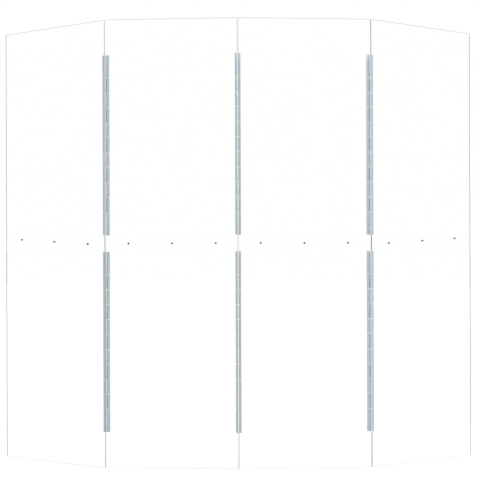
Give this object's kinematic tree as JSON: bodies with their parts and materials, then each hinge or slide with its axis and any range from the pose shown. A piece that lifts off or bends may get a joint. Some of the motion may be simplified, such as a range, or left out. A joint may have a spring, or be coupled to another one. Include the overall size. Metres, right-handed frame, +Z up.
{
  "type": "drum shield",
  "caption": "Free-standing folding screen of clear acrylic panels joined edge to edge by clear piano hinges, each panel lapped and screwed at mid height.",
  "frame": {"origin": "middle of the footprint, on the floor, with the shield standing as pictured", "axes": "+X to the right seen from the front, +Y back towards the drummer, +Z up"},
  "size_m": [1.6774, 0.2654, 1.524],
  "materials": {
    "clear_acrylic": "clear cast sheet, polished faces, satin saw-cut edges",
    "hinge_acrylic": "clear extruded hinge, bluish grey through its thickness",
    "hinge_pin": "bright drawn wire",
    "black_fastener": "black oxide"
  },
  "bodies": {
    "mid_left_panel": {"mid_left_upper_sheet": "clear_acrylic", "mid_left_lower_sheet": "clear_acrylic", "left_upper_hinge_inner_leaf": "hinge_acrylic", "left_lower_hinge_inner_leaf": "hinge_acrylic", "left_upper_hinge_pin": "hinge_pin", "left_lower_hinge_pin": "hinge_pin", "centre_upper_hinge_left_leaf": "hinge_acrylic", "centre_lower_hinge_left_leaf": "hinge_acrylic", "centre_upper_hinge_pin": "hinge_pin", "centre_lower_hinge_pin": "hinge_pin", "mid_left_lap_screw_1": "black_fastener", "mid_left_lap_screw_2": "black_fastener", "mid_left_lap_screw_3": "black_fastener", "mid_left_lap_nut_1": "black_fastener", "mid_left_lap_nut_2": "black_fastener", "mid_left_lap_nut_3": "black_fastener"},
    "far_left_panel": {"far_left_upper_sheet": "clear_acrylic", "far_left_lower_sheet": "clear_acrylic", "left_upper_hinge_outer_leaf": "hinge_acrylic", "left_lower_hinge_outer_leaf": "hinge_acrylic", "far_left_lap_screw_1": "black_fastener", "far_left_lap_screw_2": "black_fastener", "far_left_lap_screw_3": "black_fastener", "far_left_lap_nut_1": "black_fastener", "far_left_lap_nut_2": "black_fastener", "far_left_lap_nut_3": "black_fastener"},
    "mid_right_panel": {"mid_right_upper_sheet": "clear_acrylic", "mid_right_lower_sheet": "clear_acrylic", "centre_upper_hinge_right_leaf": "hinge_acrylic", "centre_lower_hinge_right_leaf": "hinge_acrylic", "right_upper_hinge_inner_leaf": "hinge_acrylic", "right_lower_hinge_inner_leaf": "hinge_acrylic", "right_upper_hinge_pin": "hinge_pin", "right_lower_hinge_pin": "hinge_pin", "mid_right_lap_screw_1": "black_fastener", "mid_right_lap_screw_2": "black_fastener", "mid_right_lap_screw_3": "black_fastener", "mid_right_lap_nut_1": "black_fastener", "mid_right_lap_nut_2": "black_fastener", "mid_right_lap_nut_3": "black_fastener"},
    "far_right_panel": {"far_right_upper_sheet": "clear_acrylic", "far_right_lower_sheet": "clear_acrylic", "right_upper_hinge_outer_leaf": "hinge_acrylic", "right_lower_hinge_outer_leaf": "hinge_acrylic", "far_right_lap_screw_1": "black_fastener", "far_right_lap_screw_2": "black_fastener", "far_right_lap_screw_3": "black_fastener", "far_right_lap_nut_1": "black_fastener", "far_right_lap_nut_2": "black_fastener", "far_right_lap_nut_3": "black_fastener"}
  },
  "joints": [
    {"name": "left_fold", "type": "hinge", "parent": "mid_left_panel", "child": "far_left_panel", "pos_m": [-0.44854, -0.09259, 0.762], "axis": [0, 0, -1], "range_deg": [-27, 153]},
    {"name": "centre_fold", "type": "hinge", "parent": "mid_left_panel", "child": "mid_right_panel", "pos_m": [0, -0.13024, 0.762], "axis": [0, 0, 1], "range_deg": [-187, 3]},
    {"name": "right_fold", "type": "hinge", "parent": "mid_right_panel", "child": "far_right_panel", "pos_m": [0.44854, -0.09259, 0.762], "axis": [0, 0, 1], "range_deg": [-27, 153]}
  ]
}
